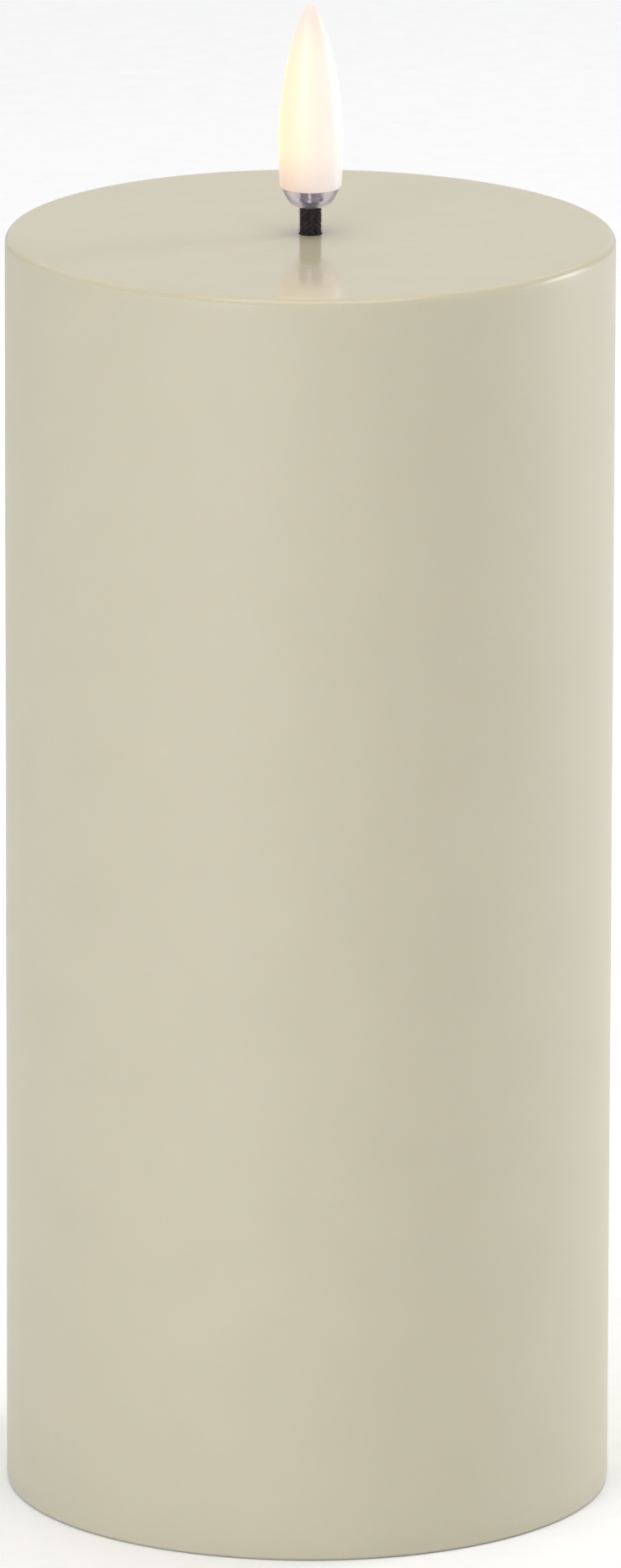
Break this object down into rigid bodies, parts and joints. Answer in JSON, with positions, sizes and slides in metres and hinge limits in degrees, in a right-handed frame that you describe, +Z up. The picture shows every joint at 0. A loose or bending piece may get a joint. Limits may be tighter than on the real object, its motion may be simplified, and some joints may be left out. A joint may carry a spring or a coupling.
{
  "type": "flameless led candle",
  "caption": "Flameless pillar candle: a smooth wax cylinder with a flame-shaped light bulb on a short black wick, and a battery bay, door and slide switch in its base.",
  "frame": {"origin": "middle of the candle's underside, on the surface that it stands on", "axes": "+Z up along the candle's axis; -Y is the front, the side of the slide switch; the battery door hooks in at -X and latches at +X"},
  "size_m": [0.072, 0.072, 0.18],
  "materials": {
    "wax": "satin",
    "core_plastic": "satin",
    "base_plastic": "satin",
    "black_plastic": "satin",
    "plated_steel": "satin",
    "tinned_copper": "satin",
    "board_laminate": "satin",
    "cell_jacket": "satin",
    "red_insulation": "satin",
    "black_insulation": "satin",
    "woven_black": "matte",
    "led_epoxy": "polished",
    "clear_plastic": "polished",
    "milky_plastic": "satin"
  },
  "bodies": {
    "candle": {"wax_shell": "wax", "inner_core": "core_plastic", "base_tray": "base_plastic", "base_screw_1": "plated_steel", "base_screw_2": "plated_steel", "base_screw_3": "plated_steel", "battery_front": "cell_jacket", "battery_rear": "cell_jacket", "positive_plate": "plated_steel", "negative_plate": "plated_steel", "bridge_plate": "plated_steel", "negative_spring": "plated_steel", "bridge_spring": "plated_steel", "main_pcb": "board_laminate", "pcb_screw_1": "plated_steel", "pcb_screw_2": "plated_steel", "timer_chip": "black_plastic", "timer_crystal": "plated_steel", "capacitor": "tinned_copper", "resistor_1": "black_plastic", "resistor_2": "black_plastic", "switch_can": "tinned_copper", "switch_base": "black_plastic", "wire_battery_pos": "red_insulation", "wire_battery_neg": "black_insulation", "wire_led_pos": "red_insulation", "wire_led_neg": "black_insulation", "wick_holder": "black_plastic", "holder_screw_1": "plated_steel", "holder_screw_2": "plated_steel", "wick_sleeve": "woven_black", "led_lens": "led_epoxy", "led_post": "tinned_copper", "led_anvil": "tinned_copper", "flame_cup": "clear_plastic", "flame_diffuser": "milky_plastic"},
    "switch": {"switch_slider": "black_plastic", "switch_button": "base_plastic"},
    "door": {"battery_door": "base_plastic"}
  },
  "joints": [
    {"name": "switch_slide", "type": "slide", "parent": "candle", "child": "switch", "axis": [1, 0, 0], "range_m": [-0.002, 0.002]},
    {"name": "battery_door_hinge", "type": "hinge", "parent": "candle", "child": "door", "pos_m": [-0.02845, 0, 0.0008], "axis": [0, 1, 0], "range_deg": [0, 95]}
  ]
}
